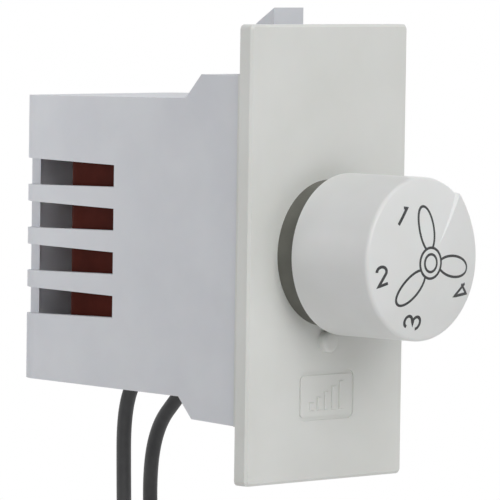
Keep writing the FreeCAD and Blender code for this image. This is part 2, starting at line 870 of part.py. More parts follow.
def commonContact():
    ring = rod(commonOuterR, padFrontY, cupBackY).cut(rod(commonInnerR, padFrontY - 1, cupBackY + 1))
    x, z = commonPin()
    return ring.fuse(rod(pinR, padFrontY, boardBackY - pinSetBack, x, z)).removeSplitter()


def tailPlaces():
    """Where each component's lead goes through the board, seen from the front."""
    bigX, smallX = (bigCapX0 + bigCapX1) / 2, (smallCapX0 + smallCapX1) / 2
    bigZ, smallZ = (bigCapZ0 + bigCapZ1) / 2, (smallCapZ0 + smallCapZ1) / 2
    places = [(bigX, bigZ - capLeadPitch / 2), (bigX, bigZ + capLeadPitch / 2)]
    places += [(smallX, smallZ - smallLeadPitch / 2), (smallX, smallZ + smallLeadPitch / 2)]
    return places


def resistorPlaces():
    places = []
    for side in (-1, 1):
        for end in (-1, 1):
            places.append((side * resistorX + end * resistorLeadPitch / 2, resistorZ))
    return places


def leadPlaces():
    return [(route[0][0], route[0][2]) for route in (leadRouteA, leadRouteB)]


def circuitBoard():
    halfW = boardHalfWidth
    z0, z1 = boardBottomZ, boardTopZ
    board = roundedBlock(-halfW, halfW, boardFrontY, boardBackY, z0, z1, boardCornerR)
    y0, y1 = boardFrontY - 1, boardBackY + 1
    pins = [around(a, padRingR) for a in padAngles()] + [commonPin()]
    for x, z in pins:
        board = board.cut(rod(pinR + pinHoleClearance, y0, y1, x, z))
    for x, z in tailPlaces():
        board = board.cut(rod(tailR + pinHoleClearance, y0, y1, x, z))
    for x, z in resistorPlaces():
        board = board.cut(rod(resistorLeadR + pinHoleClearance, y0, y1, x, z))
    return board


def capacitor(x0, x1, z0, z1, endY):
    """A moulded case with every edge rounded but those that stand on the board."""
    case = block(x0, x1, boardBackY, endY, z0, z1)
    edges = edgesAlong(case, 1)
    edges += edgesAlong(case, 0, lambda m: m.y > endY - 0.01)
    edges += edgesAlong(case, 2, lambda m: m.y > endY - 0.01)
    return case.makeFillet(capEdge, edges)


def capacitorLeads():
    tails = [rod(tailR, boardFrontY - tailProud, boardBackY, x, z) for x, z in tailPlaces()]
    return Part.makeCompound(tails)


def resistorAxisY():
    return boardBackY + resistorR + resistorLift


def resistorBodies():
    """Two small dumb-bell resistors that bleed the capacitors."""
    bodies = []
    half, neckR = resistorLength / 2, resistorNeckShare * resistorR
    y = resistorAxisY()
    for side in (-1, 1):
        x = side * resistorX
        base, along = point(x - half, y, resistorZ), point(1, 0, 0)
        neck = Part.makeCylinder(neckR, resistorLength, base, along)
        bulge = resistorBulgeShare * resistorLength
        left = Part.makeCylinder(resistorR, bulge, base, along)
        right = Part.makeCylinder(resistorR, bulge, point(x + half - bulge, y, resistorZ), along)
        body = neck.fuse([left, right]).removeSplitter()
        ends = [e for e in body.Edges if abs(abs(e.Vertexes[0].X - x) - half) < 1e-6]
        bodies.append(body.makeFillet(resistorEdgeR, [e for e in ends if len(e.Vertexes) == 1]))
    return Part.makeCompound(bodies)


def resistorLeads():
    """The bent wires, four in all, from each resistor's end down through the board."""
    leads = []
    y = resistorAxisY()
    bendR = resistorBendR
    for side in (-1, 1):
        for end in (-1, 1):
            startX = side * resistorX + end * resistorLength / 2
            dropX = side * resistorX + end * resistorLeadPitch / 2
            a = point(startX, y, resistorZ)
            b = point(dropX - end * bendR, y, resistorZ)
            k = 1 - math.sqrt(0.5)
            c = point(dropX - end * bendR * k, y - bendR * k, resistorZ)
            d = point(dropX, y - bendR, resistorZ)
            e = point(dropX, boardFrontY - tailProud, resistorZ)
            path = Part.Wire(
                [
                    Part.LineSegment(a, b).toShape(),
                    Part.Arc(b, c, d).toShape(),
                    Part.LineSegment(d, e).toShape(),
                ]
            )
            ring = Part.Wire(Part.makeCircle(resistorLeadR, a, point(end, 0, 0)))
            leads.append(path.makePipeShell([ring], True, True))
    return Part.makeCompound(leads)


def solderJoints():
    """Small cones of solder on the board's front face, round each pin and tail."""
    joints = []
    y0, y1 = boardFrontY - solderHeight, boardFrontY
    pins = [around(a, padRingR) for a in padAngles()] + [commonPin()]
    groups = [(pins, pinR), (tailPlaces(), tailR), (resistorPlaces(), resistorLeadR)]
    for places, innerR in groups:
        for x, z in places:
            base, along = point(x, y0, z), point(0, 1, 0)
            cone = Part.makeCone(innerR + solderCollar, solderR, solderHeight, base, along)
            joints.append(cone.cut(rod(innerR + solderGap, y0 - 1, y1 + 1, x, z)))
    for x, z in leadPlaces():
        base = point(x, y0, z)
        joints.append(Part.makeCone(leadSolderR, solderR, solderHeight, base, point(0, 1, 0)))
    return Part.makeCompound(joints)


def tube(name, route, radius):
    """A round tube along straight runs joined by tangent arcs."""
    spots = [point(*p) for p in route]
    edges = []
    start = spots[0]
    length = 0.0
    radii = []
    for i in range(1, len(spots) - 1):
        before, here, after = spots[i - 1], spots[i], spots[i + 1]
        u = (here - before).normalize()
        v = (after - here).normalize()
        half = u.getAngle(v) / 2
        tangent = bendShare * min((here - before).Length, (after - here).Length)
        bend = tangent / math.tan(half)
        first, last = here - u * tangent, here + v * tangent
        inward = (v - u).normalize()
        middle = here + inward * (bend / math.cos(half) - bend)
        edges.append(Part.LineSegment(start, first).toShape())
        edges.append(Part.Arc(first, middle, last).toShape())
        length += (first - start).Length + 2 * half * bend
        radii.append(round(bend, 1))
        start = last
    edges.append(Part.LineSegment(start, spots[-1]).toShape())
    length += (spots[-1] - start).Length
    ring = Part.Wire(Part.makeCircle(radius, spots[0], spots[1] - spots[0]))
    solid = Part.Wire(edges).makePipeShell([ring], True, True)
    share = solid.Volume / (math.pi * radius**2 * length)
    print(f"{name}: bend radii {radii}, length {length:.1f} mm, volume share {share:.4f}")
    return solid


def leadTip(route):
    """The stripped and tinned end of a flying lead."""
    end, before = point(*route[-1]), point(*route[-2])
    along = (end - before).normalize()
    tip = Part.makeCylinder(leadCoreR, leadTipLength, end, along)
    rings = [e for e in tip.Edges if len(e.Vertexes) == 1]
    far = [e for e in rings if (e.Vertexes[0].Point - end).Length > leadTipLength / 2]
    return tip.makeFillet(leadTipRounding, far)


os.makedirs("parts", exist_ok=True)
export("front_plate", frontPlate())
export("collar_ring", collarRing())
export("rear_housing", rearHousing())
export("knob", knobShell())
export("spindle", spindle())
export("knob_spring", knobSpring())
export("detent_wheel", detentWheel())
export("wiper_carrier", wiperCarrier())
export("wiper_contact", wiperContact())
export("detent_ball", detentBall())
export("detent_spring", detentSpring())
export("switch_body", switchBody())
export("switch_screws", switchScrews())
export("contact_wafer", contactWafer())
export("fixed_contacts", fixedContacts())
export("common_contact", commonContact())
export("circuit_board", circuitBoard())
export("capacitor_large", capacitor(bigCapX0, bigCapX1, bigCapZ0, bigCapZ1, capBackY))
export("capacitor_small", capacitor(smallCapX0, smallCapX1, smallCapZ0, smallCapZ1, smallCapBackY))
export("capacitor_leads", capacitorLeads())
export("resistor_bodies", resistorBodies())
export("resistor_leads", resistorLeads())
export("solder_joints", solderJoints())
export("lead_wire_a", tube("lead_wire_a", leadRouteA, leadR))
export("lead_wire_b", tube("lead_wire_b", leadRouteB, leadR))
export("lead_tip_a", leadTip(leadRouteA))
export("lead_tip_b", leadTip(leadRouteB))
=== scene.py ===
import math

import bmesh
import bpy
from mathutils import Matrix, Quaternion, Vector


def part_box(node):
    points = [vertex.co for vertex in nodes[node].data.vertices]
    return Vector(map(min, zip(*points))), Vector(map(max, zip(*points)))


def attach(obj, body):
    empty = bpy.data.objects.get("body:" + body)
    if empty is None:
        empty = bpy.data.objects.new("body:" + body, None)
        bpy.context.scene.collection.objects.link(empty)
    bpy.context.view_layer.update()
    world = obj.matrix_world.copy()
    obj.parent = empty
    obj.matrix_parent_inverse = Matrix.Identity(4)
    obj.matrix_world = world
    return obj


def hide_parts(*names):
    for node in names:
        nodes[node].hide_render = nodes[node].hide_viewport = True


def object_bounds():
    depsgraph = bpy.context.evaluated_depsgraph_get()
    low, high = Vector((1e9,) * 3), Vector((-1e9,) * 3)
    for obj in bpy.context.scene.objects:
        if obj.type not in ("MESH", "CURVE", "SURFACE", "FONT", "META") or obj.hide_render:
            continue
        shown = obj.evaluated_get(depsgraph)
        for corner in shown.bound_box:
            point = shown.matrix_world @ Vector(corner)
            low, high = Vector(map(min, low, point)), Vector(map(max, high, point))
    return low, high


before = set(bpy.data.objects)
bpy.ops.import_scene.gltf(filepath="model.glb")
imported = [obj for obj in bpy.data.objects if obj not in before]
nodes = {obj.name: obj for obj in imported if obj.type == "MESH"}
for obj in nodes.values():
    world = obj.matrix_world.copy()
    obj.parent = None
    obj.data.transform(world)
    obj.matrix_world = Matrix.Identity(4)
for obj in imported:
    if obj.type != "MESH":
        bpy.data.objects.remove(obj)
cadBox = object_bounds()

mm = 0.001
print("frame loaded with", len(nodes), "pieces")


# small helpers for meshes and materials

def sRgb(red, green, blue):
    # the eye's 0-255 value to the linear one that a shader takes
    def linear(value):
        value /= 255
        return value / 12.92 if value <= 0.04045 else ((value + 0.055) / 1.055) ** 2.4
    return (linear(red), linear(green), linear(blue), 1)


def newMesh(name, verts, faces, material):
    mesh = bpy.data.meshes.new(name)
    mesh.from_pydata(verts, [], faces)
    mesh.validate()
    # the faces of each closed form are turned outwards
    shape = bmesh.new()
    shape.from_mesh(mesh)
    bmesh.ops.recalc_face_normals(shape, faces=shape.faces)
    shape.to_mesh(mesh)
    shape.free()
    mesh.update()
    mesh.materials.append(material)
    piece = bpy.data.objects.new(name, mesh)
    bpy.context.scene.collection.objects.link(piece)
    return piece


def addNode(tree, kind, inputs=None, **settings):
    made = tree.nodes.new(kind)
    for key, value in settings.items():
        setattr(made, key, value)
    for key, value in (inputs or {}).items():
        made.inputs[key].default_value = value
    return made


def newMaterial(name, **sockets):
    material = bpy.data.materials.new(name)
    material.use_nodes = True
    tree = material.node_tree
    shader = tree.nodes["Principled BSDF"]
    for key, value in sockets.items():
        shader.inputs[key.replace("_", " ")].default_value = value
    return material, tree, shader


def partSpace(tree, stretch=(1, 1, 1)):
    # the part's own frame, so the grain turns with the piece
    place = addNode(tree, "ShaderNodeTexCoord")
    scaled = addNode(tree, "ShaderNodeMapping", {"Scale": stretch})
    tree.links.new(place.outputs["Object"], scaled.inputs["Vector"])
    return scaled.outputs["Vector"]


def noiseOn(tree, space, scale, detail=3, roughness=0.5, distortion=0):
    grain = addNode(tree, "ShaderNodeTexNoise", {
        "Scale": scale, "Detail": detail, "Roughness": roughness, "Distortion": distortion})
    tree.links.new(space, grain.inputs["Vector"])
    return grain.outputs["Fac"]


def twoTone(tree, shader, fac, low, high, start=0.35, end=0.65):
    ramp = addNode(tree, "ShaderNodeValToRGB")
    ramp.color_ramp.elements[0].position = start
    ramp.color_ramp.elements[0].color = low
    ramp.color_ramp.elements[1].position = end
    ramp.color_ramp.elements[1].color = high
    tree.links.new(fac, ramp.inputs["Fac"])
    tree.links.new(ramp.outputs["Color"], shader.inputs["Base Color"])


def varyRoughness(tree, shader, fac, low, high):
    spread = addNode(tree, "ShaderNodeMapRange", {"To Min": low, "To Max": high})
    tree.links.new(fac, spread.inputs["Value"])
    tree.links.new(spread.outputs["Result"], shader.inputs["Roughness"])


def bumpFrom(tree, shader, fac, strength, distance, under=None):
    bump = addNode(tree, "ShaderNodeBump", {"Strength": strength, "Distance": distance})
    tree.links.new(fac, bump.inputs["Height"])
    if under:
        tree.links.new(under.outputs["Normal"], bump.inputs["Normal"])
    tree.links.new(bump.outputs["Normal"], shader.inputs["Normal"])
    return bump


# moulded plastics

mouldedGrain = {"cloudDetail": 4, "fineDetail": 2, "flowStrength": 0.25}


def mouldedPlastic(name, tones, grain, sockets):
    # tones: the darker and lighter shade; grain: size per metre, bump height in metres and roughness spread
    material, tree, shader = newMaterial(name, **sockets)
    space = partSpace(tree)
    cloud = noiseOn(tree, space, grain["cloudScale"], mouldedGrain["cloudDetail"])
    twoTone(tree, shader, cloud, sRgb(*tones[0]), sRgb(*tones[1]))
    fine = noiseOn(tree, space, grain["fineScale"], mouldedGrain["fineDetail"])
    varyRoughness(tree, shader, fine, *grain["roughness"])
    flow = bumpFrom(tree, shader, cloud, mouldedGrain["flowStrength"], grain["flowHeight"])
    bumpFrom(tree, shader, fine, grain["strength"], grain["height"], flow)
    return material


plateLook = {
    "tones": ((224, 225, 221), (230, 231, 228)),
    "grain": {"cloudScale": 90, "fineScale": 5200, "roughness": (0.34, 0.46),
              "flowHeight": 0.00004, "strength": 0.25, "height": 0.000006},
    "sockets": {"IOR": 1.5, "Subsurface_Weight": 0.04, "Subsurface_Scale": 0.0006},
}
knobLook = {
    "tones": ((231, 232, 231), (236, 237, 237)),
    "grain": {"cloudScale": 110, "fineScale": 4200, "roughness": (0.26, 0.32),
              "flowHeight": 0.00003, "strength": 0.08, "height": 0.000003},
    "sockets": {"IOR": 1.5, "Subsurface_Weight": 0.05, "Subsurface_Scale": 0.0006},
}
# white plastic whose slight blue tint is painted cool light, standing in for the cooler light that falls on
# its sides from the left
housingLookPaintedCool = {
    "tones": ((219, 221, 227), (225, 227, 232)),
    "grain": {"cloudScale": 140, "fineScale": 3400, "roughness": (0.5, 0.66),
              "flowHeight": 0.00007, "strength": 0.45, "height": 0.000012},
    "sockets": {"IOR": 1.48, "Subsurface_Weight": 0.05, "Subsurface_Scale": 0.0005},
}
# the collar's dark olive grey is painted shade: the tone it shows in shade under the knob's rim, used as
# its colour
collarLookPaintedShade = {
    "tones": ((98, 98, 91), (110, 110, 103)),
    "grain": {"cloudScale": 300, "fineScale": 5200, "roughness": (0.55, 0.72),
              "flowHeight": 0.00003, "strength": 0.4, "height": 0.00001},
    "sockets": {"IOR": 1.46},
}
phenolicLook = {
    "tones": ((36, 35, 34), (52, 50, 48)),
    "grain": {"cloudScale": 900, "fineScale": 4800, "roughness": (0.4, 0.6),
              "flowHeight": 0.00002, "strength": 0.4, "height": 0.00001},
    "sockets": {"IOR": 1.52},
}
nylonLook = {
    "tones": ((214, 209, 194), (224, 220, 208)),
    "grain": {"cloudScale": 260, "fineScale": 4600, "roughness": (0.36, 0.5),
              "flowHeight": 0.00003, "strength": 0.3, "height": 0.000008},
    "sockets": {"IOR": 1.53, "Subsurface_Weight": 0.1, "Subsurface_Scale": 0.0008},
}
platePlastic = mouldedPlastic("satin_white_plate", **plateLook)
knobPlastic = mouldedPlastic("satin_white_knob", **knobLook)
housingPlasticPaintedCool = mouldedPlastic("matt_white_housing_painted_cool_light", **housingLookPaintedCool)
collarPlasticPaintedShade = mouldedPlastic("matt_collar_painted_shade_grey", **collarLookPaintedShade)
phenolic = mouldedPlastic("black_phenolic", **phenolicLook)
nylon = mouldedPlastic("natural_nylon", **nylonLook)
print("moulded plastics ready")


# metals, board, components, leads and print

def stretchedNoise(tree, stretch=(1, 1, 1), **noise):
    return noiseOn(tree, partSpace(tree, stretch), **noise)


def layeredFinish(name, tones, spread, tone, skin, roughness, relief, sockets):
    # tone: the noise that colours it; skin: the noise of its roughness and relief; relief: strength, height
    material, tree, shader = newMaterial(name, **sockets)
    twoTone(tree, shader, stretchedNoise(tree, **tone), sRgb(*tones[0]), sRgb(*tones[1]), *spread)
    surface = stretchedNoise(tree, **skin)
    varyRoughness(tree, shader, surface, *roughness)
    if relief:
        bumpFrom(tree, shader, surface, *relief)
    return material


# drawn or rolled stock: the brush lines run along one direction of the part
zincLook = {
    "tones": ((176, 178, 181), (202, 203, 205)),
    "spread": (0.3, 0.7),
    "tone": {"scale": 700, "detail": 4},
    "skin": {"scale": 2600, "detail": 3, "stretch": (0.3, 1, 1)},
    "roughness": (0.2, 0.36),
    "relief": (0.3, 0.000006),
    "sockets": {"Metallic": 1.0},
}
brassLook = {
    "tones": ((190, 150, 82), (216, 180, 108)),
    "spread": (0.3, 0.7),
    "tone": {"scale": 700, "detail": 4},
    "skin": {"scale": 2600, "detail": 3, "stretch": (0.25, 1, 1)},
    "roughness": (0.22, 0.4),
    "relief": (0.3, 0.000006),
    "sockets": {"Metallic": 1.0},
}
tinnedLook = {
    "tones": ((168, 168, 170), (206, 206, 207)),
    "spread": (0.3, 0.7),
    "tone": {"scale": 700, "detail": 4},
    "skin": {"scale": 2600, "detail": 3, "stretch": (1, 1, 0.2)},
    "roughness": (0.26, 0.46),
    "relief": (0.3, 0.000006),
    "sockets": {"Metallic": 1.0},
}
# paper fibres
laminateLook = {
    "tones": ((118, 82, 48), (146, 104, 62)),
    "spread": (0.3, 0.75),
    "tone": {"scale": 1900, "detail": 5, "roughness": 0.6, "distortion": 0.4, "stretch": (1, 1, 0.35)},
    "skin": {"scale": 1900, "detail": 5, "roughness": 0.6, "distortion": 0.4, "stretch": (1, 1, 0.35)},
    "roughness": (0.4, 0.62),
    "relief": (0.4, 0.00001),
    "sockets": {"IOR": 1.5},
}
# moulded epoxy with an uneven, slightly dimpled skin
caseLook = {
    "tones": ((76, 28, 20), (90, 36, 27)),
    "spread": (0.35, 0.65),
    "tone": {"scale": 240, "detail": 4},
    "skin": {"scale": 620, "detail": 2},
    "roughness": (0.32, 0.5),
    "relief": (0.5, 0.00004),
    "sockets": {"IOR": 1.5, "Specular_IOR_Level": 0.03},
}
lacquerLook = {
    "tones": ((176, 150, 108), (198, 172, 128)),
    "spread": (0.35, 0.65),
    "tone": {"scale": 2100, "detail": 3},
    "skin": {"scale": 2100, "detail": 3},
    "roughness": (0.35, 0.55),
    "relief": (0.3, 0.00001),
    "sockets": {"IOR": 1.5, "Coat_Weight": 0.2, "Coat_Roughness": 0.2},
}
# extruded soft plastic: faint drag marks along the lead, dusty sheen
insulationLook = {
    "tones": ((38, 38, 40), (54, 54, 55)),
    "spread": (0.35, 0.65),
    "tone": {"scale": 420, "detail": 4},
    "skin": {"scale": 2400, "detail": 3, "stretch": (1, 1, 0.12)},
    "roughness": (0.42, 0.6),
    "relief": (0.35, 0.00001),
    "sockets": {"IOR": 1.48, "Sheen_Weight": 0.12, "Sheen_Roughness": 0.5},
}
inkLook = {
    "tones": ((52, 53, 54), (64, 65, 66)),
    "spread": (0.35, 0.65),
    "tone": {"scale": 5200, "detail": 2},
    "skin": {"scale": 5200, "detail": 2},
    "roughness": (0.5, 0.65),
    "relief": None,
    "sockets": {"IOR": 1.45},
}
zincSteel = layeredFinish("zinc_plated_steel", **zincLook)
contactBrass = layeredFinish("contact_brass", **brassLook)
tinnedCopper = layeredFinish("tinned_copper", **tinnedLook)
laminate = layeredFinish("brown_paper_laminate", **laminateLook)
epoxyCase = layeredFinish("red_brown_epoxy", **caseLook)
lacquer = layeredFinish("beige_lacquer", **lacquerLook)
insulation = layeredFinish("black_flexible_insulation", **insulationLook)
printInk = layeredFinish("grey_print_ink", **inkLook)
print("metal, board, component, lead and print materials ready")

finishes = {
    "front_plate": platePlastic,
    "collar_ring": collarPlasticPaintedShade,
    "rear_housing": housingPlasticPaintedCool,
    "knob": knobPlastic,
    "spindle": nylon,
    "knob_spring": zincSteel,
    "detent_wheel": nylon,
    "wiper_carrier": phenolic,
    "wiper_contact": contactBrass,
    "detent_ball": zincSteel,
    "detent_spring": zincSteel,
    "switch_body": phenolic,
    "switch_screws": zincSteel,
    "contact_wafer": laminate,
    "fixed_contacts": contactBrass,
    "common_contact": contactBrass,
    "circuit_board": laminate,
    "capacitor_large": epoxyCase,
    "capacitor_small": epoxyCase,
    "capacitor_leads": tinnedCopper,
    "resistor_bodies": lacquer,
    "resistor_leads": tinnedCopper,
    "solder_joints": tinnedCopper,
    "lead_wire_a": insulation,
    "lead_wire_b": insulation,
    "lead_tip_a": tinnedCopper,
    "lead_tip_b": tinnedCopper,
}
for nodeName, finish in finishes.items():
    piece = nodes[nodeName]
    piece.data.materials.clear()
    piece.data.materials.append(finish)
print("finishes given to", len(finishes), "pieces")


# flying leads

leads = {
    "diameter": 1.5 * mm,
    "sectionSteps": 6,      # how finely the lead is rounded
    "runSteps": 12,         # and how finely its line is drawn between two points
    "a": {
        "length": 0.0877,
        "route": [(-3.9, 13.24, -10.2), (-3.9, 17.9, -10.4), (-3.9, 21.4, -13.8), (-3.9, 22.7, -17.6),
                  (-4.0, 22.5, -24.0), (-4.5, 21.7, -33.0), (-4.1, 22.0, -46.0), (-4.7, 22.6, -61.0),
                  (-4.2, 22.3, -77.0), (-4.6, 22.8, -92.0)],
    },
    "b": {
        "length": 0.0865,
        "route": [(3.9, 13.36, -10.2), (3.9, 17.6, -11.0), (3.9, 22.5, -15.9), (3.9, 25.9, -19.6),
                  (3.8, 26.7, -26.0), (4.1, 25.8, -36.0), (3.6, 25.4, -49.0), (4.2, 24.6, -63.0),
                  (3.8, 24.9, -78.0), (4.3, 24.4, -90.0)],
    },
}


def flyingLead(side):
    route = [Vector(point) * mm for point in leads[side]["route"]]
    curve = bpy.data.curves.new("flying_lead_" + side, "CURVE")
    curve.dimensions = "3D"
    curve.bevel_depth = leads["diameter"] / 2
    curve.bevel_resolution = leads["sectionSteps"]
    curve.resolution_u = leads["runSteps"]
    curve.use_fill_caps = True
    spline = curve.splines.new("NURBS")
    spline.points.add(len(route) - 1)
    for point, place in zip(spline.points, route):
        point.co = (*place, 1)
    spline.order_u = 3
    spline.use_endpoint_u = True
    curve.materials.append(insulation)
    piece = bpy.data.objects.new("flying_lead_" + side, curve)
    bpy.context.scene.collection.objects.link(piece)
    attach(piece, "fixed")
    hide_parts("lead_wire_" + side)


flyingLead("a")
flyingLead("b")
print("flying leads laid")


# knob, made again as a mesh so that its pointer runs softly into the dome and the rim

knobCap = {
    "domeRadius": 27.15,
    "inkRoom": 0.012,       # the dome stays this far inside the solid, so that its print fits too
    "rimRounding": 0.5,
    "rimBlend": 0.4,        # behind the rounding, where the pointer has run out into the side
    "wall": 1.3,
    "faceThick": 1.5,
    "hubWall": 1.3,
    "hubRecess": 0.3,
    "boreGap": 0.03,        # round the spindle
    "boreFlat": 2.56,       # from the axis to the flat that the spring bears on
    "boreFlatEnd": -6.4,
    "spindleRadius": 3.0,
    "ribs": 6,
    "ribThick": 0.9,
    "ribRecess": 0.9,
    "ribOverlap": 0.4,
    "backEdge": 0.12,
    "segments": 400,
    "domeRings": 26,
    "rimRings": 8,
    "sharpAngle": 28,       # degrees, from where an edge is shown sharp
}
pointer = {
    "angle": 51.7,
    "start": 1.6,           # radius where it rises out of the dome
    "height": 0.35,         # at the rim
    "steepTurn": 1.8,       # degrees from the crest to the foot of its steep side
    "softTurn": 42.0,       # and to where its soft side has run out
}
knobLow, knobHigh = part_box("knob")
knobRadius = knobHigh[0] / mm
domeTop = knobLow[1] / mm + knobCap["inkRoom"]
knobBack = knobHigh[1] / mm
domeRadius = knobCap["domeRadius"]


def domeAt(radius):
    return domeTop + domeRadius - math.sqrt(domeRadius ** 2 - radius ** 2)


# the rim's rounding leaves the dome without a kink
domeEdge = (knobRadius - knobCap["rimRounding"]) / (1 - knobCap["rimRounding"] / domeRadius)
domeSlope = math.asin(domeEdge / domeRadius)
rimCentre = domeAt(domeEdge) + knobCap["rimRounding"] * math.cos(domeSlope)
faceBack = domeAt(domeEdge) + knobCap["faceThick"]


def pointerShare(angle):
    # 1 on the crest and 0 beyond its two feet; angles go anticlockwise seen from the front
    turn = (angle - pointer["angle"] + 180) % 360 - 180
    if turn >= 0:
        return max(0, 1 - turn / pointer["steepTurn"])
    return max(0, 1 + turn / pointer["softTurn"]) ** 2


def faceRing(radius, level):
    # one ring of the face or the rim, raised where the pointer passes
    rise = pointer["height"] * max(0, radius - pointer["start"]) / (knobRadius - pointer["start"])
    ring = []
    for step in range(knobCap["segments"]):
        angle = pointer["angle"] + 360 * step / knobCap["segments"]
        share = pointerShare(angle)
        y = level + share * (domeAt(radius) - rise - level)
        ring.append((radius * math.cos(math.radians(angle)), y, radius * math.sin(math.radians(angle))))
    return ring


def plainRing(radius, level, flat=None):
    ring = []
    for step in range(knobCap["segments"]):
        angle = math.radians(pointer["angle"] + 360 * step / knobCap["segments"])
        x = radius * math.cos(angle)
        ring.append((x if flat is None else min(x, flat), level, radius * math.sin(angle)))
    return ring


def knobRings():
    rings = []
    for step in range(1, knobCap["domeRings"] + 1):
        radius = domeEdge * step / knobCap["domeRings"]
        rings.append(faceRing(radius, domeAt(radius)))
    for step in range(1, knobCap["rimRings"] + 1):
        turn = domeSlope + (math.pi / 2 - domeSlope) * step / knobCap["rimRings"]
        radius = knobRadius - knobCap["rimRounding"] * (1 - math.sin(turn))
        rings.append(faceRing(radius, rimCentre - knobCap["rimRounding"] * math.cos(turn)))
    inner = knobRadius - knobCap["wall"]
    hub = knobCap["spindleRadius"] + knobCap["hubWall"]
    bore = knobCap["spindleRadius"] + knobCap["boreGap"]
    hubEnd = knobBack - knobCap["hubRecess"]
    edge = knobCap["backEdge"]
    rings.append(plainRing(knobRadius, rimCentre + knobCap["rimBlend"]))
    for radius, level in ((knobRadius, knobBack - edge), (knobRadius - edge, knobBack),
                          (inner + edge, knobBack), (inner, knobBack - edge), (inner, faceBack),
                          (hub, faceBack), (hub, hubEnd), (bore, hubEnd), (bore, knobCap["boreFlatEnd"])):
        rings.append(plainRing(radius, level))
    for level in (knobCap["boreFlatEnd"], faceBack):
        rings.append(plainRing(bore, level, knobCap["boreFlat"]))
    return rings


def knobRibs(verts, faces):
    inner = knobRadius - knobCap["wall"] + knobCap["ribOverlap"]
    hub = knobCap["spindleRadius"] + knobCap["hubWall"] - knobCap["ribOverlap"]
    front = faceBack - knobCap["ribOverlap"]
    back = knobBack - knobCap["ribRecess"]
    half = knobCap["ribThick"] / 2
    for rib in range(knobCap["ribs"]):
        turn = math.tau * rib / knobCap["ribs"]
        first = len(verts)
        for y in (front, back):
            for along, across in ((hub, -half), (inner, -half), (inner, half), (hub, half)):
                x = along * math.cos(turn) - across * math.sin(turn)
                z = along * math.sin(turn) + across * math.cos(turn)
                verts.append((x * mm, y * mm, z * mm))
        faces.append((first, first + 1, first + 2, first + 3))
        faces.append((first + 7, first + 6, first + 5, first + 4))
        for side in range(4):
            other = (side + 1) % 4
            faces.append((first + side, first + 4 + side, first + 4 + other, first + other))


def knobMesh():
    rings = knobRings()
    verts = [(0, domeTop * mm, 0)]
    verts += [(x * mm, y * mm, z * mm) for ring in rings for x, y, z in ring]
    count = knobCap["segments"]
    faces = [(0, 1 + step, 1 + (step + 1) % count) for step in range(count)]
    for ring in range(len(rings) - 1):
        a, b = 1 + ring * count, 1 + (ring + 1) * count
        for step in range(count):
            after = (step + 1) % count
            faces.append((a + step, b + step, b + after, a + after))
    last = 1 + (len(rings) - 1) * count
    middle = len(verts)
    verts.append((0, rings[-1][0][1] * mm, 0))
    faces += [(last + (step + 1) % count, last + step, middle) for step in range(count)]
    knobRibs(verts, faces)
    piece = newMesh("knob_cap", verts, faces, knobPlastic)
    piece.data.shade_smooth()
    piece.data.set_sharp_from_angle(angle=math.radians(knobCap["sharpAngle"]))
    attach(piece, "rotor")
    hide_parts("knob")


knobMesh()
print("knob made")


# print on the knob's face

knobInk = {
    "height": knobCap["inkRoom"],
    "root": 0.03,           # how far the ink's solid reaches below the surface
    "shift": (-0.07, -0.3),    # of the fan symbol from the knob's middle, across and up
    "mitre": 0.45,          # keeps a sharp corner's mitre short
}


def onFace(across, up, lift):
    return (across * mm, (domeAt(math.hypot(across, up)) - lift) * mm, up * mm)


def bezier(a, b, c, d, steps=22):
    points = []
    for step in range(steps + 1):
        t = step / steps
        s = 1 - t
        points.append(tuple(
            s ** 3 * a[i] + 3 * s * s * t * b[i] + 3 * s * t * t * c[i] + t ** 3 * d[i] for i in (0, 1)))
    return points


def arc(centre, radius, start, end, steps=24):
    x, z = centre
    rx, rz = radius
    turn = [math.radians(start + (end - start) * step / steps) for step in range(steps + 1)]
    return [(x + rx * math.cos(angle), z + rz * math.sin(angle)) for angle in turn]


def divided(points, longest=0.25):
    # a straight stroke follows the dome, so it is cut into short steps
    made = [points[0]]
    for start, end in zip(points, points[1:]):
        length = math.dist(start, end)
        count = max(1, math.ceil(length / longest))
        for step in range(1, count + 1):
            t = step / count
            made.append((start[0] + (end[0] - start[0]) * t, start[1] + (end[1] - start[1]) * t))
    return made


def strokeMesh(points, width, closed, verts, faces):
    # a thin closed band with mitred corners along the points
    count = len(points)
    first = len(verts)
    for i, point in enumerate(points):
        here = Vector(point)
        before = Vector(points[i - 1]) if closed or i else None
        after = Vector(points[(i + 1) % count]) if closed or i < count - 1 else None
        into = (here - before).normalized() if before else (after - here).normalized()
        out = (after - here).normalized() if after else into
        normal = Vector((-(into.y + out.y), into.x + out.x)).normalized()
        half = width / 2 / max(knobInk["mitre"], normal.dot(Vector((-into.y, into.x))))
        left, right = here + normal * half, here - normal * half
        verts.append(onFace(*left, knobInk["height"]))
        verts.append(onFace(*right, knobInk["height"]))
        verts.append(onFace(*right, -knobInk["root"]))
        verts.append(onFace(*left, -knobInk["root"]))
    for i in range(count if closed else count - 1):
        a = first + 4 * i
        b = first + 4 * ((i + 1) % count)
        for side in range(4):
            other = (side + 1) % 4
            faces.append((a + side, b + side, b + other, a + other))
    if not closed:
        last = first + 4 * (count - 1)
        faces.append((first, first + 1, first + 2, first + 3))
        faces.append((last + 3, last + 2, last + 1, last))


def turnedTo(points, angle, place=(0, 0)):
    cos, sin = math.cos(math.radians(angle)), math.sin(math.radians(angle))
    return [(place[0] + x * cos - z * sin, place[1] + x * sin + z * cos) for x, z in points]


fanSymbol = {
    "ringRadii": (1.5, 0.86),
    "ringLine": 0.25,
    "ringSteps": 72,
    "bladeLine": 0.25,
    "bladeRoot": 0.5,       # half the distance between a blade's two lines at the ring
    "rootPull": (0.3, 1.38),    # the curve's first handle: share of the length, and across
    "tipPull": 1.08,
    "blades": ((98, 5.56), (223, 5.62), (353, 5.98)),    # direction and reach of each blade
}


